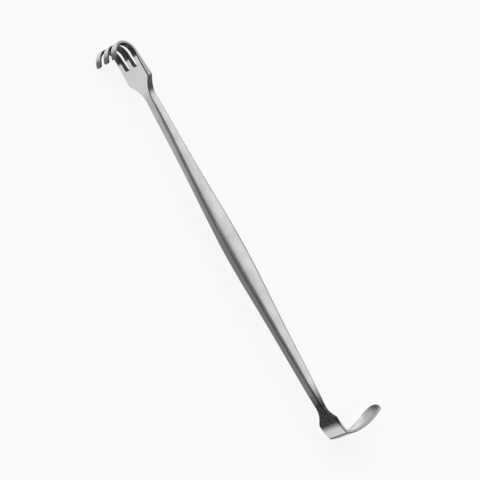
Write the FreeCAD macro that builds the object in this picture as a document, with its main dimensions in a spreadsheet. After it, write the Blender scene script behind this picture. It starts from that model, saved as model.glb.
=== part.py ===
import FreeCAD, Part

import math
import os

import Sketcher

# A double-ended hand-held retractor, forged and bent from one bar of stainless steel.
# It lies on its side. X runs from the three-prong rake to the blade, the prongs curl towards
# -Y and the blade reaches towards +Y, and Z is the width of the rake plate and of the blade.
# The origin is under the middle of the bounding box, on the surface the piece lies on.

SIZES = [
    ("overall_length", 160.0),
    # Rake: places along the piece are measured back from the top of the hook
    ("rake_shoulder_place", 15.0),
    ("rake_shoulder_slope", 38.0),
    ("slot_floor_place", 10.3),
    ("rake_width", 10.6),
    ("rake_front", 1.85),
    ("rake_neck_radius", 10.0),
    ("rake_shoulder_radius", 1.0),
    ("prong_width", 2.4),
    ("slot_corner", 0.7),
    ("hook_radius", 4.5),
    ("hook_root_wall", 1.5),
    ("hook_wall", 1.1),
    ("hook_turn", 148.0),
    ("prong_tip_length", 2.4),
    ("prong_tip_corner", 0.75),
    ("rake_edge_bevel", 0.3),
    # Handle: seven sections, with their places from the middle of the overall length
    ("rake_neck_depth", 3.55),
    ("rake_neck_thickness", 3.2),
    ("rake_neck_corner", 0.45),
    ("rake_grip_place", 35.5),
    ("rake_grip_depth", 5.6),
    ("rake_grip_thickness", 3.0),
    ("rake_grip_corner", 1.0),
    ("rake_swell_place", 12.0),
    ("rake_swell_depth", 8.1),
    ("rake_swell_thickness", 3.1),
    ("rake_swell_corner", 1.1),
    ("widest_place", 4.5),
    ("widest_depth", 8.9),
    ("widest_thickness", 3.7),
    ("widest_corner", 1.3),
    ("heel_swell_place", 27.5),
    ("heel_swell_depth", 6.9),
    ("heel_swell_thickness", 3.3),
    ("heel_swell_corner", 1.2),
    ("heel_grip_place", 46.0),
    ("heel_grip_depth", 5.1),
    ("heel_grip_thickness", 3.1),
    ("heel_grip_corner", 1.0),
    ("heel_neck_depth", 2.45),
    ("heel_neck_thickness", 2.8),
    # Heel and blade: the shoulder lies a little beyond the centre of the plate's curve
    ("heel_shoulder_ahead", 0.7),
    ("heel_shoulder_slope", 38.0),
    ("heel_neck_radius", 6.5),
    ("heel_shoulder_radius", 0.8),
    ("heel_neck_straight", 0.4),
    # Their outer side is a chain of arcs, and each turn is how far the metal has turned from
    # the handle's direction, in degrees, where that arc ends
    ("plate_front", 0.82),
    ("plate_wall", 1.35),
    ("plate_radius", 16.0),
    ("plate_turn", 24.0),
    ("corner_radius", 0.9),
    ("corner_turn", 68.0),
    ("heel_radius", 16.5),
    ("heel_turn", 88.0),
    ("blade_radius", 42.0),
    ("blade_turn", 109.0),
    ("lip_radius", 7.5),
    ("lip_turn", 137.0),
    ("bend_radius", 2.0),
    ("blade_wall", 1.08),
    ("blade_width", 8.7),
    ("bend_skew", 5.3),
    ("blade_end_radius", 5.0),
    ("blade_end_corner", 0.6),
    ("blade_edge_round", 0.35),
]

# Centres of the outer side's arcs. Neighbours touch where the first one ends, so each centre
# lies from the next at the difference of the radii. X is worked out back from the blade's
# farthest point, and Y out from the plate's front.
CENTRES = [
    ("blade_x", "=overall_length / 2 - tan(bend_skew) * blade_width / 2 - blade_radius"),
    ("heel_x", "=blade_x + (blade_radius - heel_radius) * sin(heel_turn)"),
    ("corner_x", "=heel_x + (heel_radius - corner_radius) * sin(corner_turn)"),
    ("plate_x", "=corner_x - (plate_radius - corner_radius) * sin(plate_turn)"),
    ("lip_x", "=blade_x + (blade_radius - lip_radius) * sin(blade_turn)"),
    ("plate_y", "=plate_radius - plate_front"),
    ("corner_y", "=plate_y - (plate_radius - corner_radius) * cos(plate_turn)"),
    ("heel_y", "=corner_y + (heel_radius - corner_radius) * cos(corner_turn)"),
    ("blade_y", "=heel_y + (blade_radius - heel_radius) * cos(heel_turn)"),
    ("lip_y", "=blade_y - (blade_radius - lip_radius) * cos(blade_turn)"),
]

MARGIN = 1.0  # how far the cutting outlines run past the metal
LEAN = 2.0  # first guess, in degrees, of how far a nearly level face leans before it is solved
PARALLEL = 0.999  # cosine above which two directions count as one
SMOOTH = 0.99  # cosine above which two faces count as running on into each other
NEAR = 0.001  # distance in mm within which two places count as one
LEAST_CUT = 0.01  # mm3 that a cut takes off at the least
HALFWAY = 45  # degrees, half of a square corner
STEEL = 7.8e-3  # grams of stainless steel in a mm3
START, END, CENTRE = range(1, 4)  # the points of a sketch element

doc = FreeCAD.newDocument("retractor")


# The sheet of driving sizes
sizes = doc.addObject("Spreadsheet::Sheet", "sizes")
for row, (alias, value) in enumerate(SIZES + CENTRES, start=1):
    sizes.set("A%d" % row, alias)
    sizes.set("B%d" % row, str(value))
    sizes.setAlias("B%d" % row, alias)
doc.recompute()


def value_of(formula):
    """What a formula of the sheet's sizes comes to now, in mm or degrees."""
    result = sizes.evalExpression(formula)
    return float(getattr(result, "Value", result))


def new_body(name):
    body = doc.addObject("PartDesign::Body", name)
    body.Label = name + "_form"
    return body


def plane_of(body, role):
    return next(item for item in body.Origin.OriginFeatures if item.Role == role)


def new_sketch(body, name, role):
    sketch = body.newObject("Sketcher::SketchObject", name)
    sketch.AttachmentSupport = (plane_of(body, role), [""])
    sketch.MapMode = "FlatFace"
    return sketch


def line(sketch, start, end):
    return sketch.addGeometry(
        Part.LineSegment(FreeCAD.Vector(*start, 0), FreeCAD.Vector(*end, 0)), False)


def arc(sketch, centre, radius, first, last):
    """An arc that runs anticlockwise between two angles in degrees."""
    circle = Part.Circle(FreeCAD.Vector(*centre, 0), FreeCAD.Vector(0, 0, 1), radius)
    return sketch.addGeometry(
        Part.ArcOfCircle(circle, math.radians(first), math.radians(last)), False)


def polar(centre, radius, angle):
    turned = math.radians(angle)
    return (centre[0] + radius * math.cos(turned), centre[1] + radius * math.sin(turned))


def join(sketch, kind, *pairs):
    """Coincident or Tangent ends: each pair is (element, end, element, end)."""
    for pair in pairs:
        sketch.addConstraint(Sketcher.Constraint(kind, *pair))


def bind(sketch, name, kind, refs, formula):
    """Adds a dimension and ties it to a formula of the sheet's sizes."""
    amount = value_of(formula)
    if kind == "Angle":
        amount = math.radians(amount)
        formula = "(%s) * 1 deg" % formula
    index = sketch.addConstraint(Sketcher.Constraint(kind, *refs, amount))
    sketch.renameConstraint(index, name)
    sketch.setExpression("Constraints." + name, formula)


def place_point(sketch, name, ref, across, along):
    """Ties a point's two coordinates to formulas."""
    bind(sketch, name + "_x", "DistanceX", ref, across)
    bind(sketch, name + "_y", "DistanceY", ref, along)


def set_size(feature, prop, formula):
    setattr(feature, prop, value_of(formula))
    feature.setExpression(prop, formula)


def pad(body, sketch, name, width):
    feature = body.newObject("PartDesign::Pad", name)
    feature.Profile = sketch
    feature.SideType = "Symmetric"
    set_size(feature, "Length", width)
    return feature


def pocket(body, sketch, name, length):
    """A cut of the given whole length, half of it on each side of the sketch."""
    before = body.Shape.Volume
    feature = body.newObject("PartDesign::Pocket", name)
    feature.Profile = sketch
    feature.SideType = "Symmetric"
    set_size(feature, "Length", length)
    doc.recompute()
    if feature.Shape.Volume > before - LEAST_CUT:
        raise RuntimeError(name + " cuts nothing")
    return feature


def mirror_across_middle(body, feature, name):
    mirrored = body.newObject("PartDesign::Mirrored", name)
    mirrored.Originals = [feature]
    mirrored.MirrorPlane = (plane_of(body, "XY_Plane"), [""])
    body.Tip = mirrored
    doc.recompute()


def dress_edges(body, kind, name, size, wanted):
    """Gives the edges for which wanted(edge) is true a round (Fillet) or a bevel (Chamfer)."""
    base = body.Tip
    names = ["Edge%d" % number for number, edge in enumerate(base.Shape.Edges, start=1)
             if wanted(edge)]
    feature = body.newObject("PartDesign::" + kind, name)
    feature.Base = (base, names)
    set_size(feature, "Radius" if kind == "Fillet" else "Size", size)
    doc.recompute()


def is_straight_along(edge, direction):
    """True for a straight edge that runs along the direction, either way."""
    if not isinstance(edge.Curve, Part.Line):
        return False
    return abs(edge.Curve.Direction.dot(direction)) > PARALLEL


def shoulder_run(end, width):
    """Formula for how far a shoulder's outline runs along the piece, from the full width
    down to the neck: two round corners and the straight slope between them."""
    radii = "(sizes.%s_neck_radius + sizes.%s_shoulder_radius)" % (end, end)
    drop = "(sizes.%s - sizes.%s_neck_thickness) / 2" % (width, end)
    slope = "sizes.%s_shoulder_slope" % end
    return "%s * tan(%s / 2) + %s / tan(%s)" % (radii, slope, drop, slope)


# Rake: the side view, drawn in X and Y
RAKE_END = "-sizes.overall_length / 2"
RAKE_SHOULDER = RAKE_END + " + sizes.rake_shoulder_place"
RAKE_NECK = RAKE_SHOULDER + " + " + shoulder_run("rake", "rake_width")
HOOK_OUTER = "(sizes.hook_radius + (sizes.hook_root_wall + sizes.hook_wall) / 2)"

rake = new_body("rake")
side = new_sketch(rake, "rake_side", "XY_Plane")
neck_x = value_of(RAKE_NECK)
half_neck = value_of("sizes.rake_neck_depth / 2")
inner_r = value_of("sizes.hook_radius")
outer_r = value_of(HOOK_OUTER)
turn = value_of("sizes.hook_turn")
inner_c = (value_of(RAKE_END + " + sizes.hook_wall + sizes.hook_radius"),
           value_of("-sizes.rake_front - sizes.hook_radius"))
outer_c = (value_of(RAKE_END + " + " + HOOK_OUTER),
           value_of("-sizes.rake_front + sizes.hook_root_wall - " + HOOK_OUTER))
tip = value_of("sizes.prong_tip_length")
heading = turn - 180
inner_tip = polar(polar(inner_c, inner_r, 90 + turn), tip, heading)
outer_tip = polar(polar(outer_c, outer_r, 90 + turn), tip, heading)

neck = line(side, (neck_x, -half_neck), (neck_x, half_neck))
back = line(side, (neck_x, half_neck), polar(outer_c, outer_r, 90 + LEAN))
hook_back = arc(side, outer_c, outer_r, 90 + LEAN, 90 + turn)
tip_back = line(side, polar(outer_c, outer_r, 90 + turn), outer_tip)
tip_end = line(side, outer_tip, inner_tip)
tip_face = line(side, inner_tip, polar(inner_c, inner_r, 90 + turn))
hook_face = arc(side, inner_c, inner_r, 90 + LEAN, 90 + turn)
face = line(side, polar(inner_c, inner_r, 90 + LEAN), (neck_x, -half_neck))
join(side, "Coincident", (neck, END, back, START), (face, END, neck, START),
     (tip_back, END, tip_end, START), (tip_end, END, tip_face, START))
join(side, "Tangent", (back, END, hook_back, START), (hook_back, END, tip_back, START),
     (tip_face, END, hook_face, END), (hook_face, START, face, START))
join(side, "Perpendicular", (tip_back, tip_end), (tip_end, tip_face))
side.addConstraint(Sketcher.Constraint("Vertical", neck))
place_point(side, "neck_front", (neck, START), RAKE_NECK, "-sizes.rake_neck_depth / 2")
bind(side, "neck_back_y", "DistanceY", (neck, END), "sizes.rake_neck_depth / 2")
bind(side, "inner_radius", "Radius", (hook_face,), "sizes.hook_radius")
place_point(side, "inner_centre", (hook_face, CENTRE),
            RAKE_END + " + sizes.hook_wall + sizes.hook_radius",
            "-sizes.rake_front - sizes.hook_radius")
bind(side, "outer_radius", "Radius", (hook_back,), HOOK_OUTER)
place_point(side, "outer_centre", (hook_back, CENTRE), RAKE_END + " + " + HOOK_OUTER,
            "-sizes.rake_front + sizes.hook_root_wall - " + HOOK_OUTER)
bind(side, "tip_heading", "Angle", (tip_back,), "sizes.hook_turn - 180")
bind(side, "tip_length", "Distance", (tip_face,), "sizes.prong_tip_length")
pad(rake, side, "rake_strip", "sizes.rake_width")
doc.recompute()


def shoulder_outline(body, name, direction, place):
    """The corner beside a neck that is cut away, seen along Y: a hollow curve out of the
    neck, a slope, and a round corner at the full width. direction is 1 where the neck lies
    at a greater X than the shoulder, and -1 the other way round."""
    sketch = new_sketch(body, name, "XZ_Plane")
    neck_at = value_of(place["neck"])
    shoulder_at = value_of(place["shoulder"])
    low = value_of(place["neck_half"])
    high = value_of(place["full_half"])
    hollow = value_of(place["hollow"])
    corner = value_of(place["corner"])
    outside = neck_at + direction * MARGIN
    slope = value_of(place["slope"])
    hollow_c = (neck_at, low + hollow)
    corner_c = (shoulder_at, high - corner)
    if direction > 0:
        hollow_ends = (-90 - slope, -90)
        corner_ends = (90 - slope, 90)
        hollow_foot, hollow_top, corner_foot, corner_top = END, START, START, END
    else:
        hollow_ends = (-90, -90 + slope)
        corner_ends = (90, 90 + slope)
        hollow_foot, hollow_top, corner_foot, corner_top = START, END, END, START
    lean = -90 - direction * slope
    rise = 90 - direction * slope
    floor = line(sketch, (outside, low), (neck_at, low))
    curve = arc(sketch, hollow_c, hollow, *hollow_ends)
    ramp = line(sketch, polar(hollow_c, hollow, lean), polar(corner_c, corner, rise))
    bend = arc(sketch, corner_c, corner, *corner_ends)
    wall = line(sketch, (shoulder_at, high), (shoulder_at, high + MARGIN))
    roof = line(sketch, (shoulder_at, high + MARGIN), (outside, high + MARGIN))
    drop = line(sketch, (outside, high + MARGIN), (outside, low))
    join(sketch, "Tangent", (floor, END, curve, hollow_foot), (curve, hollow_top, ramp, START),
         (ramp, END, bend, corner_foot))
    join(sketch, "Coincident", (bend, corner_top, wall, START), (wall, END, roof, START),
         (roof, END, drop, START), (drop, END, floor, START))
    for element in (floor, roof):
        sketch.addConstraint(Sketcher.Constraint("Horizontal", element))
    for element in (wall, drop):
        sketch.addConstraint(Sketcher.Constraint("Vertical", element))
    sketch.addConstraint(Sketcher.Constraint("Vertical", bend, CENTRE, bend, corner_top))
    bind(sketch, "neck_y", "DistanceY", (floor, END), place["neck_half"])
    bind(sketch, "slope", "Angle", (ramp,),
         "180 - " + place["slope"] if direction > 0 else place["slope"])
    place_point(sketch, "shoulder", (bend, corner_top), place["shoulder"], place["full_half"])
    bind(sketch, "hollow_radius", "Radius", (curve,), place["hollow"])
    bind(sketch, "corner_radius", "Radius", (bend,), place["corner"])
    bind(sketch, "outside_x", "DistanceX", (drop, START),
         "%s + %g" % (place["neck"], direction * MARGIN))
    bind(sketch, "roof_y", "DistanceY", (roof, START), "%s + %g" % (place["full_half"], MARGIN))
    return sketch


rake_shoulder = shoulder_outline(rake, "rake_shoulder", 1, {
    "neck": RAKE_NECK,
    "shoulder": RAKE_SHOULDER,
    "slope": "sizes.rake_shoulder_slope",
    "neck_half": "sizes.rake_neck_thickness / 2",
    "full_half": "sizes.rake_width / 2",
    "hollow": "sizes.rake_neck_radius",
    "corner": "sizes.rake_shoulder_radius",
})
shoulder_cut = pocket(rake, rake_shoulder, "rake_shoulder_cut", "4 * sizes.rake_neck_depth")
mirror_across_middle(rake, shoulder_cut, "rake_shoulder_cuts")

# Two slots part the plate and the hook into three prongs of one width
SLOT_WIDTH = "((sizes.rake_width - 3 * sizes.prong_width) / 2)"
SLOT_FLOOR = "-sizes.overall_length / 2 + sizes.slot_floor_place"
slot = new_sketch(rake, "slot", "XZ_Plane")
near = value_of("sizes.prong_width / 2")
far = near + value_of(SLOT_WIDTH)
floor_x = value_of(SLOT_FLOOR)
open_x = value_of(RAKE_END) - MARGIN
r = value_of("sizes.slot_corner")
near_wall = line(slot, (open_x, near), (floor_x - r, near))
near_bend = arc(slot, (floor_x - r, near + r), r, -90, 0)
slot_floor = line(slot, (floor_x, near + r), (floor_x, far - r))
far_bend = arc(slot, (floor_x - r, far - r), r, 0, 90)
far_wall = line(slot, (floor_x - r, far), (open_x, far))
mouth = line(slot, (open_x, far), (open_x, near))
join(slot, "Tangent", (near_wall, END, near_bend, START), (near_bend, END, slot_floor, START),
     (slot_floor, END, far_bend, START), (far_bend, END, far_wall, START))
join(slot, "Coincident", (far_wall, END, mouth, START), (mouth, END, near_wall, START))
for element in (near_wall, far_wall):
    slot.addConstraint(Sketcher.Constraint("Horizontal", element))
for element in (slot_floor, mouth):
    slot.addConstraint(Sketcher.Constraint("Vertical", element))
slot.addConstraint(Sketcher.Constraint("Equal", near_bend, far_bend))
bind(slot, "corner_radius", "Radius", (near_bend,), "sizes.slot_corner")
bind(slot, "floor_x", "DistanceX", (slot_floor, START), SLOT_FLOOR)
place_point(slot, "mouth", (mouth, END), "%s - %g" % (RAKE_END, MARGIN), "sizes.prong_width / 2")
bind(slot, "far_y", "DistanceY", (mouth, START), "sizes.prong_width / 2 + " + SLOT_WIDTH)
slot_cut = pocket(rake, slot, "slot_cut", "8 * (sizes.hook_radius + sizes.prong_tip_length)")
mirror_across_middle(rake, slot_cut, "slot_cuts")

# The prongs' ends are blunt: their corners are rounded, and then every long edge is bevelled
tip_across = FreeCAD.Vector(math.cos(math.radians(heading - 90)),
                            math.sin(math.radians(heading - 90)), 0)
dress_edges(rake, "Fillet", "prong_tip_corners", "sizes.prong_tip_corner",
            lambda edge: is_straight_along(edge, tip_across))


def is_end_face_edge(edge, x):
    return edge.BoundBox.XMin > x - NEAR and edge.BoundBox.XMax < x + NEAR


def is_smooth_beside(edge, shape):
    """True where the two faces that meet at the edge run on into each other."""
    faces = shape.ancestorsOfType(edge, Part.Face)
    if len(faces) < 2:
        return True
    middle = edge.valueAt((edge.FirstParameter + edge.LastParameter) / 2)
    normals = []
    for item in faces[:2]:
        u, v = item.Surface.parameter(middle)
        normals.append(item.normalAt(u, v))
    return normals[0].dot(normals[1]) > SMOOTH


def dress_long_edges(body, kind, name, size, end_x):
    """Dresses all sharp edges but those of the flat end that joins the handle."""
    shape = body.Tip.Shape
    dress_edges(body, kind, name, size,
                lambda edge: not is_end_face_edge(edge, end_x)
                and not is_smooth_beside(edge, shape))


dress_long_edges(rake, "Chamfer", "rake_edges", "sizes.rake_edge_bevel", neck_x)


# Heel and blade: the side view, drawn in X and Y
HEEL_SHOULDER = "sizes.plate_x + sizes.heel_shoulder_ahead"
HEEL_NECK = HEEL_SHOULDER + " - (" + shoulder_run("heel", "blade_width") + ")"
ARCS = ["plate", "corner", "heel", "blade", "lip"]

heel = new_body("heel")
profile = new_sketch(heel, "heel_side", "XY_Plane")
neck_x = value_of(HEEL_NECK)
half_neck = value_of("sizes.heel_neck_depth / 2")
straight_x = neck_x + value_of("sizes.heel_neck_straight")
wall = value_of("sizes.blade_wall")
centre = {name: (value_of("sizes.%s_x" % name), value_of("sizes.%s_y" % name)) for name in ARCS}
outer = {name: value_of("sizes.%s_radius" % name) for name in ARCS}
inner = {name: outer[name] - wall for name in ("heel", "blade", "lip")}
inner["plate"] = outer["plate"] - value_of("sizes.plate_wall")
turn = {name: value_of("sizes.%s_turn" % name) - 90 for name in ARCS}

# The inner bend touches the plate's and the heel's inner arcs: its centre is where circles
# about their centres, each smaller by its radius, cross
bend_r = value_of("sizes.bend_radius")
to_plate = inner["plate"] - bend_r
to_heel = inner["heel"] - bend_r
apart = math.dist(centre["plate"], centre["heel"])
bearing = math.degrees(math.atan2(centre["heel"][1] - centre["plate"][1],
                                  centre["heel"][0] - centre["plate"][0]))
spread = math.degrees(math.acos((to_plate ** 2 + apart ** 2 - to_heel ** 2)
                                / (2 * to_plate * apart)))
bend_c = polar(centre["plate"], to_plate, bearing + spread)
bend_in, bend_out = [math.degrees(math.atan2(bend_c[1] - centre[name][1],
                                             bend_c[0] - centre[name][0]))
                     for name in ("plate", "heel")]

back = {}
start_angle = -90 - LEAN
for name in ARCS:
    back[name] = arc(profile, centre[name], outer[name], start_angle, turn[name])
    start_angle = turn[name]
plate_face = arc(profile, centre["plate"], inner["plate"], -90 - LEAN, bend_in)
bend_face = arc(profile, bend_c, bend_r, bend_in, bend_out)
heel_face = arc(profile, centre["heel"], inner["heel"], bend_out, turn["heel"])
blade_face = arc(profile, centre["blade"], inner["blade"], turn["heel"], turn["blade"])
lip_face = arc(profile, centre["lip"], inner["lip"], turn["blade"], turn["lip"])
outset_x = neck_x - MARGIN
low_straight = line(profile, (outset_x, -half_neck), (straight_x, -half_neck))
under = line(profile, (straight_x, -half_neck), polar(centre["plate"], outer["plate"],
                                                      -90 - LEAN))
free_end = line(profile, polar(centre["lip"], inner["lip"], turn["lip"]),
                polar(centre["lip"], outer["lip"], turn["lip"]))
upper = line(profile, polar(centre["plate"], inner["plate"], -90 - LEAN),
             (straight_x, half_neck))
high_straight = line(profile, (straight_x, half_neck), (outset_x, half_neck))
neck = line(profile, (outset_x, half_neck), (outset_x, -half_neck))
join(profile, "Coincident", (neck, END, low_straight, START), (low_straight, END, under, START),
     (back["lip"], END, free_end, END), (lip_face, END, free_end, START),
     (upper, END, high_straight, START), (high_straight, END, neck, START))
join(profile, "Coincident", *[(face, CENTRE, back[name], CENTRE) for name, face in
                              (("plate", plate_face), ("heel", heel_face),
                               ("blade", blade_face), ("lip", lip_face))])
join(profile, "Tangent", (under, END, back["plate"], START))
join(profile, "Tangent", *[(back[first], END, back[second], START)
                           for first, second in zip(ARCS, ARCS[1:])])
join(profile, "Tangent", (plate_face, END, bend_face, START), (bend_face, END, heel_face, START),
     (heel_face, END, blade_face, START), (blade_face, END, lip_face, START),
     (upper, START, plate_face, START))
profile.addConstraint(Sketcher.Constraint("PointOnObject", lip_face, CENTRE, free_end))
for element in (low_straight, high_straight):
    profile.addConstraint(Sketcher.Constraint("Horizontal", element))
profile.addConstraint(Sketcher.Constraint("Vertical", neck))
profile.addConstraint(Sketcher.Constraint("Vertical", low_straight, END, high_straight, START))
place_point(profile, "outset", (low_straight, START), "%s - %g" % (HEEL_NECK, MARGIN),
            "-sizes.heel_neck_depth / 2")
bind(profile, "straight_x", "DistanceX", (low_straight, END),
     HEEL_NECK + " + sizes.heel_neck_straight")
bind(profile, "neck_inner_y", "DistanceY", (high_straight, END), "sizes.heel_neck_depth / 2")
for name in ARCS:
    bind(profile, name + "_radius", "Radius", (back[name],), "sizes.%s_radius" % name)
    bind(profile, name + "_centre_y", "DistanceY", (back[name], CENTRE), "sizes.%s_y" % name)
bind(profile, "plate_centre_x", "DistanceX", (back["plate"], CENTRE), "sizes.plate_x")
bind(profile, "plate_inner", "Radius", (plate_face,), "sizes.plate_radius - sizes.plate_wall")
bind(profile, "bend_inner", "Radius", (bend_face,), "sizes.bend_radius")
bind(profile, "heel_inner", "Radius", (heel_face,), "sizes.heel_radius - sizes.blade_wall")
bind(profile, "lip_end", "Angle", (free_end,), "sizes.lip_turn - 90")

# The bend isn't quite square to the handle, so the strip runs a little askew across its width
strip = pad(heel, profile, "blade_strip", "sizes.blade_width")
strip.UseCustomVector = True
strip.AlongSketchNormal = True
skew = math.radians(value_of("sizes.bend_skew"))
strip.Direction = FreeCAD.Vector(math.sin(skew), 0, math.cos(skew))
strip.setExpression("Direction.x", "sin(sizes.bend_skew)")
strip.setExpression("Direction.z", "cos(sizes.bend_skew)")
doc.recompute()

# The askew end of the strip is cut square where it meets the handle
square = new_sketch(heel, "neck_square", "XY_Plane")
far_x = neck_x - 3 * MARGIN
high_y = half_neck + MARGIN
corners = [(far_x, -high_y), (neck_x, -high_y), (neck_x, high_y), (far_x, high_y)]
sides = [line(square, first, second) for first, second in zip(corners, corners[1:] + corners[:1])]
for number in range(4):
    join(square, "Coincident", (sides[number], END, sides[(number + 1) % 4], START))
    way = "Vertical" if number % 2 else "Horizontal"
    square.addConstraint(Sketcher.Constraint(way, sides[number]))
place_point(square, "low", (sides[1], START), HEEL_NECK,
            "-sizes.heel_neck_depth / 2 - %g" % MARGIN)
place_point(square, "high", (sides[3], START), "%s - %g" % (HEEL_NECK, 3 * MARGIN),
            "sizes.heel_neck_depth / 2 + %g" % MARGIN)
pocket(heel, square, "neck_square_cut", "2 * sizes.blade_width")

heel_shoulder = shoulder_outline(heel, "heel_shoulder", -1, {
    "neck": HEEL_NECK,
    "shoulder": HEEL_SHOULDER,
    "slope": "sizes.heel_shoulder_slope",
    "neck_half": "sizes.heel_neck_thickness / 2",
    "full_half": "sizes.blade_width / 2",
    "hollow": "sizes.heel_neck_radius",
    "corner": "sizes.heel_shoulder_radius",
})
shoulder_cut = pocket(heel, heel_shoulder, "heel_shoulder_cut", "4 * sizes.heel_neck_depth")
mirror_across_middle(heel, shoulder_cut, "heel_shoulder_cuts")

# The blade's free end is round across its width. Its outline is drawn in the plane that the
# turned-up lip ends in, with the sketch's X axis pointing out along the lip.
end_cut = new_sketch(heel, "blade_end", "XZ_Plane")
end_cut.AttachmentOffset = FreeCAD.Placement(
    FreeCAD.Vector(centre["lip"][0], 0, -centre["lip"][1]),
    FreeCAD.Rotation(FreeCAD.Vector(0, 1, 0), value_of("sizes.lip_turn")))
end_cut.setExpression("AttachmentOffset.Base.x", "sizes.lip_x")
end_cut.setExpression("AttachmentOffset.Base.z", "-sizes.lip_y")
end_cut.setExpression("AttachmentOffset.Rotation.Angle", "sizes.lip_turn * 1 deg")
HALF_SPAN = "(sizes.blade_end_radius + sizes.blade_width / 2) / 2"
half = value_of(HALF_SPAN)
end_r = value_of("sizes.blade_end_radius")
swing = math.degrees(math.asin(half / end_r))
end_c = (-end_r, 0)
sweep = arc(end_cut, end_c, end_r, -swing, swing)
top = line(end_cut, polar(end_c, end_r, swing), (MARGIN, half))
beyond = line(end_cut, (MARGIN, half), (MARGIN, -half))
bottom = line(end_cut, (MARGIN, -half), polar(end_c, end_r, -swing))
join(end_cut, "Coincident", (sweep, END, top, START), (top, END, beyond, START),
     (beyond, END, bottom, START), (bottom, END, sweep, START))
for element in (top, bottom):
    end_cut.addConstraint(Sketcher.Constraint("Horizontal", element))
end_cut.addConstraint(Sketcher.Constraint("Vertical", beyond))
bind(end_cut, "end_radius", "Radius", (sweep,), "sizes.blade_end_radius")
place_point(end_cut, "end_centre", (sweep, CENTRE), "-sizes.blade_end_radius", "0")
place_point(end_cut, "clear", (beyond, START), "%g" % MARGIN, HALF_SPAN)
bind(end_cut, "clear_low", "DistanceY", (beyond, END), "-" + HALF_SPAN)
pocket(heel, end_cut, "blade_end_cut", "2 * (sizes.lip_radius + %g)" % MARGIN)
lip_across = FreeCAD.Vector(*polar((0, 0), 1, turn["lip"]), 0)
dress_edges(heel, "Fillet", "blade_end_corners", "sizes.blade_end_corner",
            lambda edge: is_straight_along(edge, lip_across))
dress_long_edges(heel, "Fillet", "blade_edges", "sizes.blade_edge_round", neck_x)


# Handle: a loft through seven rounded sections, deepest a little past the middle
handle = new_body("handle")
SECTIONS = [
    ("rake_neck", RAKE_NECK, "sizes.rake_neck_corner"),
    ("rake_grip", "-sizes.rake_grip_place", "sizes.rake_grip_corner"),
    ("rake_swell", "-sizes.rake_swell_place", "sizes.rake_swell_corner"),
    ("widest", "sizes.widest_place", "sizes.widest_corner"),
    ("heel_swell", "sizes.heel_swell_place", "sizes.heel_swell_corner"),
    ("heel_grip", "sizes.heel_grip_place", "sizes.heel_grip_corner"),
    ("heel_neck", HEEL_NECK, "sizes.blade_edge_round"),
]


def section(name, place, corner_size):
    """A rectangle with round corners, drawn across the handle in Y and Z. Each corner is two
    arcs that meet halfway round it."""
    sketch = new_sketch(handle, name + "_section", "YZ_Plane")
    sketch.AttachmentOffset = FreeCAD.Placement(
        FreeCAD.Vector(0, 0, value_of(place)), FreeCAD.Rotation())
    sketch.setExpression("AttachmentOffset.Base.z", place)
    depth = "sizes.%s_depth / 2" % name
    thickness = "sizes.%s_thickness / 2" % name
    deep = value_of(depth)
    thick = value_of(thickness)
    corner = value_of(corner_size)
    y = deep - corner
    z = thick - corner
    corners = [(y, -z, -90), (y, z, 0), (-y, z, 90), (-y, -z, 180)]
    entries = [arc(sketch, (cy, cz), corner, start, start + HALFWAY)
               for cy, cz, start in corners]
    exits = [arc(sketch, (cy, cz), corner, start + HALFWAY, start + 90)
             for cy, cz, start in corners]
    flats = []
    for first, second in zip(corners, corners[1:] + corners[:1]):
        flats.append(line(sketch, polar(first[:2], corner, first[2] + 90),
                          polar(second[:2], corner, second[2])))
    for number in range(4):
        join(sketch, "Tangent", (exits[number], END, flats[number], START),
             (flats[number], END, entries[(number + 1) % 4], START))
        join(sketch, "Coincident", (entries[number], CENTRE, exits[number], CENTRE),
             (entries[number], END, exits[number], START))
        sign = "" if number < 2 else "-"
        bind(sketch, "halfway_%d" % number, "DistanceX", (entries[number], END),
             "%s(%s - %s * (1 - cos(%g)))" % (sign, depth, corner_size, HALFWAY))
        if number:
            sketch.addConstraint(Sketcher.Constraint("Equal", entries[0], entries[number]))
    for number in (0, 2):
        sketch.addConstraint(Sketcher.Constraint("Vertical", flats[number]))
    for number in (1, 3):
        sketch.addConstraint(Sketcher.Constraint("Horizontal", flats[number]))
    bind(sketch, "corner", "Radius", (entries[0],), corner_size)
    bind(sketch, "right", "DistanceX", (flats[0], START), depth)
    bind(sketch, "left", "DistanceX", (flats[2], START), "-" + depth)
    bind(sketch, "top", "DistanceY", (flats[1], START), thickness)
    bind(sketch, "bottom", "DistanceY", (flats[3], START), "-" + thickness)
    return sketch


sketches = [section(*values) for values in SECTIONS]
doc.recompute()
loft = handle.newObject("PartDesign::AdditiveLoft", "handle_loft")
loft.Profile = sketches[0]
loft.Sections = sketches[1:]
loft.Ruled = False
doc.recompute()

# The one forged piece
retractor = doc.addObject("Part::MultiFuse", "retractor_piece")
retractor.Shapes = [rake, handle, heel]
retractor.Refine = False
retractor.Label = "retractor"
doc.recompute()

# It lies with the middle of its bounding box over the origin and its lower side at zero
box = retractor.Shape.optimalBoundingBox(False, False)
retractor.Placement = FreeCAD.Placement(
    FreeCAD.Vector(-box.Center.x, -box.Center.y, -box.ZMin), FreeCAD.Rotation())
doc.recompute()

failed = [item.Name for item in doc.Objects if {"Invalid", "Error"} & set(item.State)]
if failed:
    raise RuntimeError("failed objects: " + ", ".join(failed))

shape = retractor.Shape
if shape.isNull() or not shape.isValid() or len(shape.Solids) != 1:
    raise RuntimeError(retractor.Label + " is not one valid solid")
os.makedirs("parts", exist_ok=True)
shape.exportStep(os.path.join("parts", retractor.Label + ".step"))
size = shape.optimalBoundingBox(False, False)
print(retractor.Label, "box", [round(n, 2) for n in (size.XLength, size.YLength, size.ZLength)],
      "volume", round(shape.Volume, 1), "steel", round(shape.Volume * STEEL, 1), "g")
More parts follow.
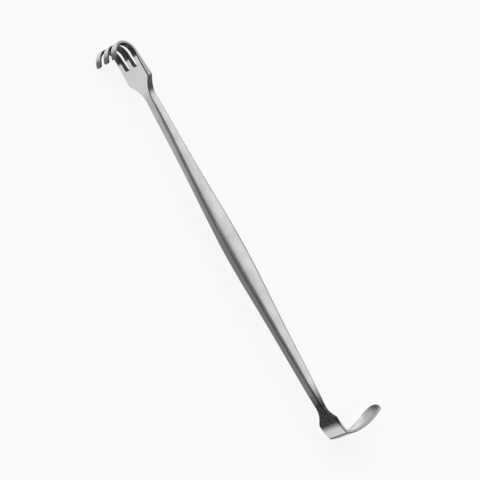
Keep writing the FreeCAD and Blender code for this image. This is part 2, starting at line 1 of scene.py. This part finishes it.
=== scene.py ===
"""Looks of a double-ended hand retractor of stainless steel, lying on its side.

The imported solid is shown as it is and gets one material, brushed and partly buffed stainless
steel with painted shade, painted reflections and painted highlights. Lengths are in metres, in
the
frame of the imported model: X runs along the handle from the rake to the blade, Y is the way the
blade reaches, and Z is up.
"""

import math

import bpy
from mathutils import Matrix, Vector


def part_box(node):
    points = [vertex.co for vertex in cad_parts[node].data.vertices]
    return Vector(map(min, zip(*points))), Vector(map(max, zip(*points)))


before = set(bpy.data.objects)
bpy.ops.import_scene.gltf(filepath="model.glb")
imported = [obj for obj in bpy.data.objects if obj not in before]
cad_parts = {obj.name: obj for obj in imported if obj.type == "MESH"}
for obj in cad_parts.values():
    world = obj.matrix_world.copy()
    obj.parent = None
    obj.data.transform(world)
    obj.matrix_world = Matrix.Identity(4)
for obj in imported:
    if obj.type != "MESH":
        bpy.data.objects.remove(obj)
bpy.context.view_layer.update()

MM = 0.001

# Camera: a long lens looks down on the piece, with the handle's axis leaning in the picture
PICTURE = 480  # pixels along a side of the picture
PIXEL = 0.35059 * MM  # what one pixel covers at the handle
HEIGHT_ANGLE = math.radians(42.0)
AXIS_LEAN = math.radians(28.70)  # of the handle, from the picture's upright
HANDLE_POINT = Vector((0.0, -5.75, 5.3)) * MM
HANDLE_PIXEL = (230.35, 240.30)  # where that point shows, from the picture's top left
DISTANCE = 3.0
CLIP_END = 20.0
SENSOR = 36.0  # mm

# Sizes read from the part
low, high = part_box("retractor")
RAKE_END_X, BLADE_END_X = low[0], high[0]
HALF_LENGTH = (high[0] - low[0]) / 2
MIDDLE_Z = (low[2] + high[2]) / 2

# Sizes that the part was modelled with
HANDLE_Y = -6.27 * MM  # of the handle's middle line
SLOT_MIDDLE = 2.05 * MM  # from the middle of the width to the middle of each slot
SLOT_HALF = 0.85 * MM
SLOT_END_X = RAKE_END_X + 10.3 * MM
HOOK_AXIS = (RAKE_END_X + 5.6 * MM, -12.62 * MM)
HOOK_INNER = 4.5 * MM
BEND_SKEW = math.tan(math.radians(5.3))  # how far the bend runs along X for each step up Z

# Fullness of the handle's broad faces, which are flat in the solid
CROWN_RADIUS = 20.0 * MM

# Noise in the finish: how far apart its spots are, and the values that most of it lies between
GRAIN_STEP = 0.25 * MM  # real grinding marks are about 0.05 mm apart, too fine to show
GRAIN_RUN = 9.0 * MM
PATCH_STEP = 6.0 * MM
MOTTLE_STEP = 0.8 * MM
CLOUD_STEP = 2.6 * MM
NOISE_SPREAD = (0.3, 0.7)
MOTTLE_SPREAD = (0.35, 0.65)
SATIN_ROUGHNESS = (0.27, 0.36)
BUFFED_ROUGHNESS = (0.16, 0.22)
GRAIN_RELIEF = (0.10, 0.03)  # strength on the handle and on the buffed ends
GRAIN_DEPTH = 0.02 * MM

# Blends by place between finishes and painted shade, reflection and highlight, each from where it
# begins to where it ends
END_RUN = 19.0 * MM  # length of the brighter part at each end
END_BLEND = 5.0 * MM
BUFFED_FROM = (HALF_LENGTH - END_RUN - END_BLEND, HALF_LENGTH - END_RUN)  # off the middle
SLOT_WALL = (SLOT_HALF + 0.05 * MM, SLOT_HALF + 0.2 * MM)  # off the middle of a slot
SLOT_END = (SLOT_END_X, SLOT_END_X + 0.3 * MM)
HOOK_WALL = (HOOK_INNER + 0.1 * MM, HOOK_INNER + 0.5 * MM)  # off the hook's axis
TIP_FROM = (RAKE_END_X + 1.2 * MM, RAKE_END_X + 3.4 * MM)
TIP_TO = (RAKE_END_X + 7.0 * MM, RAKE_END_X + 9.0 * MM)
TIP_Y = (-14.5 * MM, -12.5 * MM)
SHOULDER_FROM = (RAKE_END_X + 13 * MM, RAKE_END_X + 15 * MM)
SHOULDER_TO = (RAKE_END_X + 19 * MM, RAKE_END_X + 23 * MM)
HANDLE_FROM = (-61 * MM, -56 * MM)
HANDLE_TO = (62 * MM, 66 * MM)
SIDE_SHADE_RUN = (-50 * MM, 5 * MM)
BLADE_SIDE = (0.0, 60.0 * MM)  # keeps the blade's finish off the rake
HEEL_FROM = (-21.0 * MM, -14.5 * MM)  # off the blade's end
HEEL_TO = (-7.2 * MM, -4.0 * MM)
BEND_Y = (2.0 * MM, 9.0 * MM)
LIP_Y = (-3.0 * MM, 2.0 * MM)

# Blends by the way that the surface faces, in parts of the normal, which place painted shade,
# reflection and highlight
SHOULDER_SLOPE_X = (0.12, 0.35)
SHOULDER_SLOPE_Z = (0.2, 0.5)
BEND_FACING_X = (0.38, 0.52)
LIP_FACING_X = (-0.35, -0.15)
NARROW_FACING_Y = (0.55, 0.9)
FAR_FACING_Y = (0.0, 0.2)
EDGE_FACING_Z = (0.3, 0.6)

# How strong the painted shade gets where it isn't full
SHOULDER_DARK = 0.85
TIP_DARK = 0.85
FAR_SIDE_SHADE = 0.8
LEAST_SIDE_SHADE = 0.35

# Painted highlight and shade in bands across the blade's inner side, from its first tone on: a
# blend and the tone it leads to
LIP_MIDDLE_X = BLADE_END_X - 2.5 * MM
LIP_SLANT = 0.5  # how far the bands run along X for each step up Z
LIP_WANDER = 2 * MM
LIP_FIRST_TONE = "949596"
LIP_PAINTED_BANDS = (
    ((-2.2 * MM, -1.1 * MM), "D8D9DA"),
    ((-0.9 * MM, 0.2 * MM), "9EA0A1"),
    ((0.2 * MM, 2.8 * MM), "545453"),
)

# Ground and room
FLOOR_HALF = 2.5
GLOW_SHARE = 0.88  # of the ground's paper white that is seen whatever the lamps do
WALL_FACING_X = (0.25, 0.65)
WALL_STRENGTH = 0.65
ROOM_FACING_Y = (-0.3, 0.7)
ROOM_STRENGTH = (0.2, 0.45)  # in front of the piece and behind it


def linear(code):
    """The linear colour of a six-digit sRGB code, for a socket."""
    channels = [int(code[i:i + 2], 16) / 255 for i in (0, 2, 4)]
    return [c / 12.92 if c <= 0.04045 else ((c + 0.055) / 1.055) ** 2.4
            for c in channels] + [1.0]


def add(tree, kind, inputs=None, **settings):
    """Adds a node. Settings are its properties, and inputs are linked or set by value."""
    node = tree.nodes.new(kind)
    for name, value in settings.items():
        setattr(node, name, value)
    for key, value in (inputs or {}).items():
        if isinstance(value, bpy.types.NodeSocket):
            tree.links.new(value, node.inputs[key])
        else:
            node.inputs[key].default_value = value
    return node


def new_material(name):
    material = bpy.data.materials.new(name)
    material.use_nodes = True
    material.node_tree.nodes.clear()
    return material, material.node_tree


def ramp(tree, value, first, last, start=0.0, end=1.0):
    """Runs smoothly from start to end while the value runs from first to last."""
    return add(tree, "ShaderNodeMapRange", {
        "Value": value, "From Min": first, "From Max": last, "To Min": start, "To Max": end},
        interpolation_type="SMOOTHSTEP").outputs["Result"]


def math_of(tree, operation, first, *others):
    """Works the values out from left to right. ABSOLUTE takes the first alone."""
    for other in others or (0.0,):
        first = add(tree, "ShaderNodeMath", {0: first, 1: other},
                    operation=operation).outputs[0]
    return first


def mix_of(tree, share, first, second, kind="RGBA"):
    """Goes from the first tone or value to the second while the share goes from 0 to 1."""
    return add(tree, "ShaderNodeMix", {"Factor": share, "A": first, "B": second},
               data_type=kind).outputs["Result"]


def noise_of(tree, place, step):
    return add(tree, "ShaderNodeTexNoise", {
        "Vector": place, "Scale": 1 / step, "Detail": 2.0}).outputs["Fac"]


def parts_of(tree, vector):
    return add(tree, "ShaderNodeSeparateXYZ", {"Vector": vector}).outputs


def slot_share(tree, x, z):
    """1 on the walls of the rake's slots, where shade is painted, and 0 elsewhere."""
    side = math_of(tree, "ABSOLUTE", math_of(tree, "SUBTRACT", z, MIDDLE_Z))
    distance = math_of(tree, "ABSOLUTE", math_of(tree, "SUBTRACT", side, SLOT_MIDDLE))
    return math_of(tree, "MULTIPLY", ramp(tree, distance, *SLOT_WALL, 1.0, 0.0),
                   ramp(tree, x, *SLOT_END, 1.0, 0.0))


def hook_share(tree, x, y):
    """1 on the inside of the hook, where shade is painted, and 0 elsewhere."""
    across = add(tree, "ShaderNodeCombineXYZ", {
        "X": math_of(tree, "SUBTRACT", x, HOOK_AXIS[0]),
        "Y": math_of(tree, "SUBTRACT", y, HOOK_AXIS[1])}).outputs["Vector"]
    distance = add(tree, "ShaderNodeVectorMath", {0: across},
                   operation="LENGTH").outputs["Value"]
    return ramp(tree, distance, *HOOK_WALL, 1.0, 0.0)


def shoulder_share(tree, x, facing):
    """Up to SHOULDER_DARK of painted dark reflection on the slopes where the rake's plate
    narrows to the handle, and 0 elsewhere."""
    steep = math_of(tree, "ABSOLUTE", facing["Z"])
    sloping = math_of(tree, "MULTIPLY",
                      ramp(tree, facing["X"], *SHOULDER_SLOPE_X, 0.0, SHOULDER_DARK),
                      ramp(tree, steep, *SHOULDER_SLOPE_Z))
    near = math_of(tree, "MULTIPLY", ramp(tree, x, *SHOULDER_FROM),
                   ramp(tree, x, *SHOULDER_TO, 1.0, 0.0))
    return math_of(tree, "MULTIPLY", sloping, near)


def tip_share(tree, x, y):
    """Up to TIP_DARK of painted shade on the ends of the prongs and 0 elsewhere."""
    return math_of(tree, "MULTIPLY", ramp(tree, x, *TIP_FROM),
                   ramp(tree, x, *TIP_TO, 1.0, 0.0), ramp(tree, y, *TIP_Y, TIP_DARK, 0.0))


def heel_share(tree, x, y, z, facing):
    """1 on the heel's plate and round the outside of its bend, where a dark reflection is
    painted, and 0 elsewhere. Between the two the plate keeps its bright steel tone."""
    askew = math_of(tree, "MULTIPLY", math_of(tree, "SUBTRACT", z, MIDDLE_Z), BEND_SKEW)
    along = math_of(tree, "SUBTRACT", x, BLADE_END_X, askew)
    plate = math_of(tree, "MULTIPLY", ramp(tree, along, *HEEL_FROM),
                    ramp(tree, along, *HEEL_TO, 1.0, 0.0))
    bend = math_of(tree, "MULTIPLY", ramp(tree, facing["X"], *BEND_FACING_X),
                   ramp(tree, y, *BEND_Y, 1.0, 0.0), ramp(tree, x, *BLADE_SIDE))
    return math_of(tree, "MAXIMUM", plate, bend)


def side_shade_share(tree, x, facing):
    """How far the handle's narrow sides get the darker painted shade: least near the rake."""
    narrow_side = math_of(
        tree, "MAXIMUM",
        ramp(tree, math_of(tree, "ABSOLUTE", facing["Y"]), *NARROW_FACING_Y),
        ramp(tree, facing["Y"], *FAR_FACING_Y, 0.0, FAR_SIDE_SHADE))
    along_handle = math_of(tree, "MULTIPLY", ramp(tree, x, *HANDLE_FROM),
                           ramp(tree, x, *HANDLE_TO, 1.0, 0.0))
    return math_of(tree, "MULTIPLY", narrow_side, along_handle,
                   ramp(tree, x, *SIDE_SHADE_RUN, LEAST_SIDE_SHADE, 1.0))


def lip_share(tree, x, y, facing):
    """1 on the blade's inner side and 0 elsewhere."""
    return math_of(tree, "MULTIPLY", ramp(tree, y, *LIP_Y),
                   ramp(tree, facing["X"], *LIP_FACING_X, 1.0, 0.0),
                   ramp(tree, x, *BLADE_SIDE))


def painted_lip_light_of(tree, x, z, cloud):
    """Painted light across the blade's inner side: a painted highlight streak aslant, and then
    ever darker painted shade.
    """
    rise = math_of(tree, "MULTIPLY", math_of(tree, "SUBTRACT", z, MIDDLE_Z), LIP_SLANT)
    shift = math_of(tree, "MULTIPLY", math_of(tree, "SUBTRACT", cloud, 0.5), LIP_WANDER)
    across = math_of(tree, "ADD", math_of(tree, "SUBTRACT", LIP_MIDDLE_X, x), rise, shift)
    tone = linear(LIP_FIRST_TONE)
    for band, code in LIP_PAINTED_BANDS:
        tone = mix_of(tree, ramp(tree, across, *band), tone, linear(code))
    return tone


def brushed_stainless_steel():
    """Stainless steel. The handle is ground along its length, which gives it a soft satin
    sheen, and its narrow sides get painted shade. Both ends are buffed brighter. The slots, the
    inside of the hook, the prongs' ends, the rake's shoulders and most of the heel get a dark,
    mottled painted shade and painted dark reflection. The blade's inner side gets a painted
    highlight streak and painted shade."""
    material, tree = new_material("brushed_stainless_steel")
    coordinates = add(tree, "ShaderNodeTexCoord").outputs
    place = coordinates["Object"]
    x, y, z = parts_of(tree, place)
    facing = parts_of(tree, coordinates["Normal"])

    grain_place = add(tree, "ShaderNodeMapping", {
        "Vector": place, "Scale": (1 / GRAIN_RUN, 1 / GRAIN_STEP, 1 / GRAIN_STEP)})
    grain = add(tree, "ShaderNodeTexNoise", {
        "Vector": grain_place.outputs["Vector"], "Scale": 1.0, "Detail": 3.0,
        "Roughness": 0.6}).outputs["Fac"]
    patches = noise_of(tree, place, PATCH_STEP)
    mottle = noise_of(tree, place, MOTTLE_STEP)
    cloud = noise_of(tree, place, CLOUD_STEP)

    buffed = ramp(tree, math_of(tree, "ABSOLUTE", x), *BUFFED_FROM)
    # sloping faces at the buffed ends get painted shade
    painted_edge_shade = math_of(tree, "MULTIPLY", buffed,
                   ramp(tree, math_of(tree, "ABSOLUTE", facing["Z"]), *EDGE_FACING_Z))
    # painted shade and painted dark reflection on the slots, hook inside, heel, prong ends and
    # shoulders
    dark = math_of(tree, "MAXIMUM", slot_share(tree, x, z), hook_share(tree, x, y),
                   heel_share(tree, x, y, z, facing), tip_share(tree, x, y),
                   shoulder_share(tree, x, facing))

    handle_tone = mix_of(tree, ramp(tree, patches, *NOISE_SPREAD), linear("C0C1C3"),
                         linear("CECFD1"))
    # the blade's inner side gets painted highlight and painted shade
    end_tone = mix_of(tree, lip_share(tree, x, y, facing), linear("D2D3D4"),
                      painted_lip_light_of(tree, x, z, cloud))
    # the mottled dark tone of the painted shade and painted dark reflection
    painted_shade_tone = mix_of(tree, ramp(tree, mottle, *MOTTLE_SPREAD), linear("282827"),
                       linear("484846"))
    steel_tone = mix_of(tree, buffed, handle_tone, end_tone)
    # painted shade on the sloping faces of the ends
    steel_tone = mix_of(tree, painted_edge_shade, steel_tone, linear("9E9FA0"))
    # painted shade on the handle's narrow sides
    steel_tone = mix_of(tree, side_shade_share(tree, x, facing), steel_tone, linear("7C7D7E"))
    colour = mix_of(tree, dark, steel_tone, painted_shade_tone)

    roughness = mix_of(tree, buffed, ramp(tree, grain, *NOISE_SPREAD, *SATIN_ROUGHNESS),
                       ramp(tree, patches, *NOISE_SPREAD, *BUFFED_ROUGHNESS), "FLOAT")

    off_middle = math_of(tree, "SUBTRACT", y, HANDLE_Y)
    crown = math_of(tree, "MULTIPLY", off_middle, off_middle,
                    ramp(tree, buffed, 0.0, 1.0, -0.5 / CROWN_RADIUS, 0.0))
    full = add(tree, "ShaderNodeBump", {
        "Height": crown, "Strength": 1.0, "Distance": 1.0}).outputs["Normal"]
    relief = add(tree, "ShaderNodeBump", {
        "Height": grain, "Strength": ramp(tree, buffed, 0.0, 1.0, *GRAIN_RELIEF),
        "Distance": GRAIN_DEPTH, "Normal": full}).outputs["Normal"]
    shader = add(tree, "ShaderNodeBsdfPrincipled", {
        "Base Color": colour, "Metallic": 1.0, "Roughness": roughness, "Normal": relief})
    add(tree, "ShaderNodeOutputMaterial", {"Surface": shader.outputs["BSDF"]})
    return material


def white_paper_sweep():
    """Matt white paper. GLOW_SHARE of it glows at paper white for what looks at it, mirrors it
    or shows it through glass, and the rest takes the lamps' light and the piece's shadow."""
    material, tree = new_material("white_paper_sweep")
    path = add(tree, "ShaderNodeLightPath").outputs
    seen = math_of(tree, "MAXIMUM", path["Is Camera Ray"], path["Is Transmission Ray"],
                   path["Is Glossy Ray"])
    share = math_of(tree, "MULTIPLY", seen, GLOW_SHARE)
    paper = add(tree, "ShaderNodeBsdfDiffuse", {"Color": linear("F4F4F4")}).outputs["BSDF"]
    glow = add(tree, "ShaderNodeEmission", {
        "Color": linear("FEFEFE"), "Strength": 1.0}).outputs["Emission"]
    shader = add(tree, "ShaderNodeMixShader", {0: share, 1: paper, 2: glow})
    add(tree, "ShaderNodeOutputMaterial", {"Surface": shader.outputs["Shader"]})
    return material


def lay_floor():
    """A large square sheet at the level that the piece lies on."""
    corners = [(-FLOOR_HALF, -FLOOR_HALF, 0), (FLOOR_HALF, -FLOOR_HALF, 0),
               (FLOOR_HALF, FLOOR_HALF, 0), (-FLOOR_HALF, FLOOR_HALF, 0)]
    mesh = bpy.data.meshes.new("floor")
    mesh.from_pydata(corners, [], [(0, 1, 2, 3)])
    mesh.materials.append(white_paper_sweep())
    floor = bpy.data.objects.new("floor", mesh)
    bpy.context.scene.collection.objects.link(floor)


def light_room():
    """A quiet studio, a little lighter behind the piece than in front of it, with a pale wall
    off each end of the piece."""
    world = bpy.data.worlds.new("studio")
    bpy.context.scene.world = world
    world.use_nodes = True
    tree = world.node_tree
    tree.nodes.clear()
    direction = parts_of(tree, add(tree, "ShaderNodeTexCoord").outputs["Generated"])
    walls = ramp(tree, math_of(tree, "ABSOLUTE", direction["X"]), *WALL_FACING_X,
                 0.0, WALL_STRENGTH)
    strength = math_of(tree, "ADD", walls,
                       ramp(tree, direction["Y"], *ROOM_FACING_Y, *ROOM_STRENGTH))
    room = add(tree, "ShaderNodeBackground", {"Strength": strength})
    add(tree, "ShaderNodeOutputWorld", {"Surface": room.outputs["Background"]})


def hang_lamp(name, place, size, power):
    """A square soft box that faces the piece."""
    lamp = bpy.data.lights.new(name, "AREA")
    lamp.shape = "SQUARE"
    lamp.size = size
    lamp.energy = power
    holder = bpy.data.objects.new(name, lamp)
    holder.matrix_world = (Matrix.Translation(place)
                           @ Vector(place).to_track_quat("Z", "Y").to_matrix().to_4x4())
    bpy.context.scene.collection.objects.link(holder)


def set_camera():
    """The camera stands on the -Y side and is turned about its line of sight, so that the
    handle's axis leans as it does in the picture."""
    toward_camera = Vector((0.0, -math.cos(HEIGHT_ANGLE), math.sin(HEIGHT_ANGLE)))
    along = Vector((1.0, 0.0, 0.0))
    across = toward_camera.cross(along)
    right = math.sin(AXIS_LEAN) * along + math.cos(AXIS_LEAN) * across
    up = toward_camera.cross(right)
    middle = (PICTURE - 1) / 2
    aim = (HANDLE_POINT + right * (middle - HANDLE_PIXEL[0]) * PIXEL
           + up * (HANDLE_PIXEL[1] - middle) * PIXEL)
    camera = bpy.data.cameras.new("camera")
    camera.sensor_width = SENSOR
    camera.lens = SENSOR * DISTANCE / (PICTURE * PIXEL)
    camera.clip_end = CLIP_END
    stand = bpy.data.objects.new("camera", camera)
    turn = Matrix((right, up, toward_camera)).transposed()
    stand.matrix_world = Matrix.Translation(aim + toward_camera * DISTANCE) @ turn.to_4x4()
    bpy.context.scene.collection.objects.link(stand)
    bpy.context.scene.camera = stand


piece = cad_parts["retractor"]
steel = brushed_stainless_steel()
for slot in piece.material_slots:
    slot.material = steel

lay_floor()
light_room()
hang_lamp("key_box", place=(-0.96, -0.15, 0.68), size=1.5, power=7.0)
hang_lamp("back_box", place=(0.0, 1.0, 0.65), size=1.0, power=2.7)
set_camera()
bpy.context.scene.view_settings.view_transform = "Standard"
